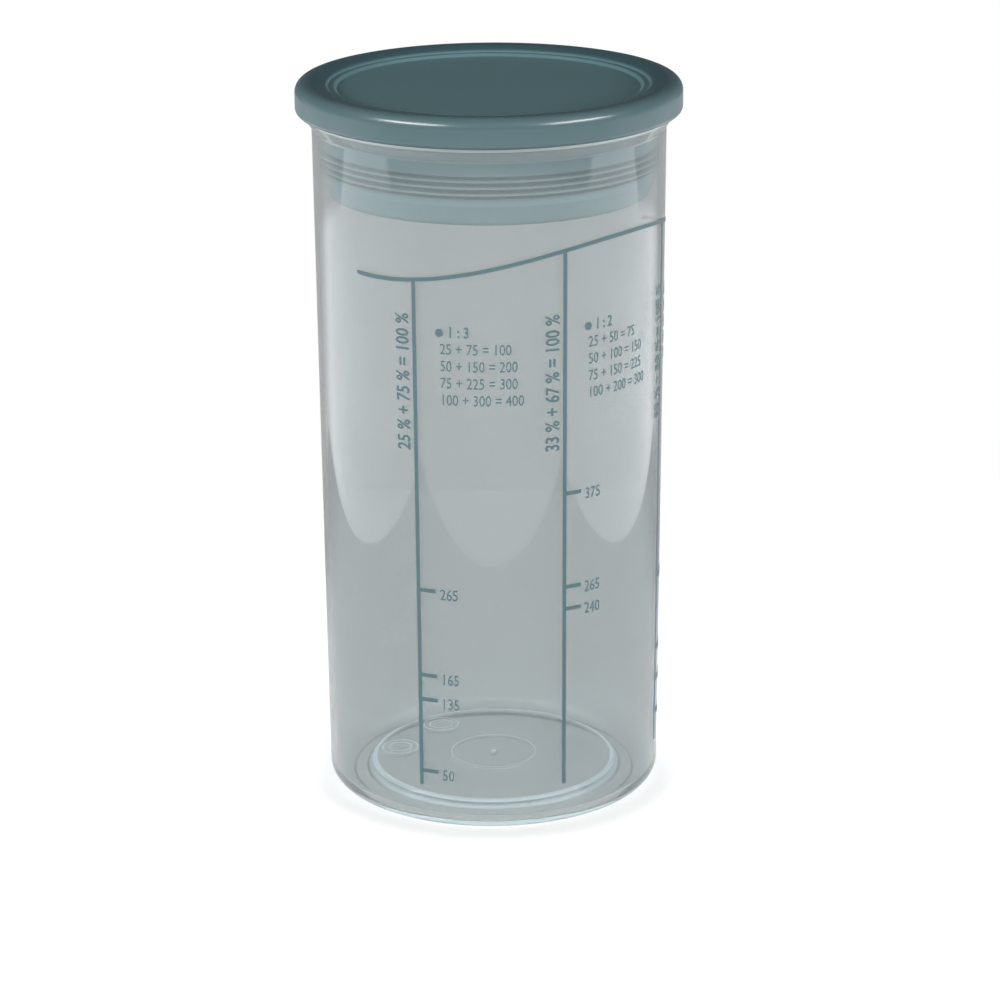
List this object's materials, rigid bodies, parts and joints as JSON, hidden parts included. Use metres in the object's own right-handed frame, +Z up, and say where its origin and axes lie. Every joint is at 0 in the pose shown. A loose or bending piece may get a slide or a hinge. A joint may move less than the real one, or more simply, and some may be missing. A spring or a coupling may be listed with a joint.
{
  "type": "shaker beaker with lid",
  "caption": "Tall clear beaker with a recessed plug lid and a printed scale, for measuring, shaking and keeping a salad dressing.",
  "frame": {"origin": "middle of the foot ring, on the surface that the beaker stands on", "axes": "+Z up along the beaker's axis; the front of the printed scale faces -Y, +X to its right"},
  "size_m": [0.09, 0.09, 0.1722],
  "materials": {
    "clear_plastic": "translucent polypropylene, smooth moulded wall, slightly milky",
    "soft_lid_plastic": "soft slate-teal polyethylene, satin moulded",
    "scale_ink": "slate-teal screen-printing ink"
  },
  "bodies": {
    "vessel": {"beaker": "clear_plastic", "fill_line": "scale_ink", "scale_1": "scale_ink", "scale_2": "scale_ink", "scale_3": "scale_ink"},
    "lid": {"lid": "soft_lid_plastic"}
  },
  "joints": [
    {"name": "lid_lift", "type": "slide", "parent": "vessel", "child": "lid", "axis": [0, 0, 1], "range_m": [0, 0.045]}
  ]
}
